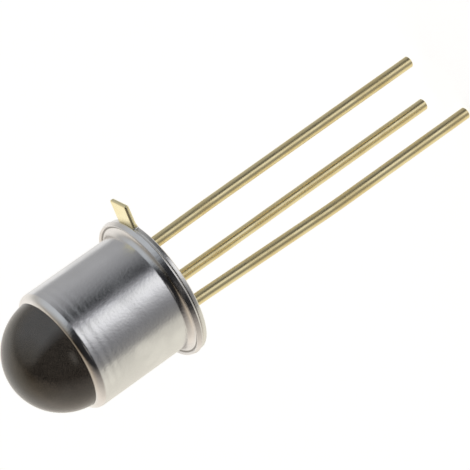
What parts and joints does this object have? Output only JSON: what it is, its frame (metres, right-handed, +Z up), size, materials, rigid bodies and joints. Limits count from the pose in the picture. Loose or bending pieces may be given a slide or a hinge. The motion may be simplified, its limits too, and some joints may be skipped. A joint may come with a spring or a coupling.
{
  "type": "phototransistor",
  "caption": "Phototransistor in a round nickel-plated metal case with a dark glass dome lens, a gold-plated flange with an index tab, and straight gold-plated wire leads.",
  "frame": {"origin": "centre of the header's seating face, on the case's axis", "axes": "+Z up through the cap to the lens, leads down along -Z; +X from the axis to the emitter lead, +Y to the base lead"},
  "size_m": [0.0057, 0.0057, 0.0199],
  "materials": {
    "nickel": "bright drawn nickel plate with a faint mottle",
    "lens_glass": "polished smoke-grey glass",
    "gold_plate": "pale gold plate, satin, on stamped sheet",
    "fill_glass": "dark fused glass",
    "gold_wire": "gold plate on round drawn wire",
    "silicon": "polished silicon with pale metal pads",
    "bond_metal": "matt gold-silicon bond",
    "bond_gold": "bright fine gold wire"
  },
  "bodies": {
    "root": {"cap": "nickel", "lens": "lens_glass", "header": "gold_plate", "glass_fill": "fill_glass", "emitter_lead": "gold_wire", "base_lead": "gold_wire", "collector_lead": "gold_wire", "chip": "silicon", "bond_layer": "bond_metal", "emitter_bond_wire": "bond_gold", "base_bond_wire": "bond_gold"}
  },
  "joints": []
}
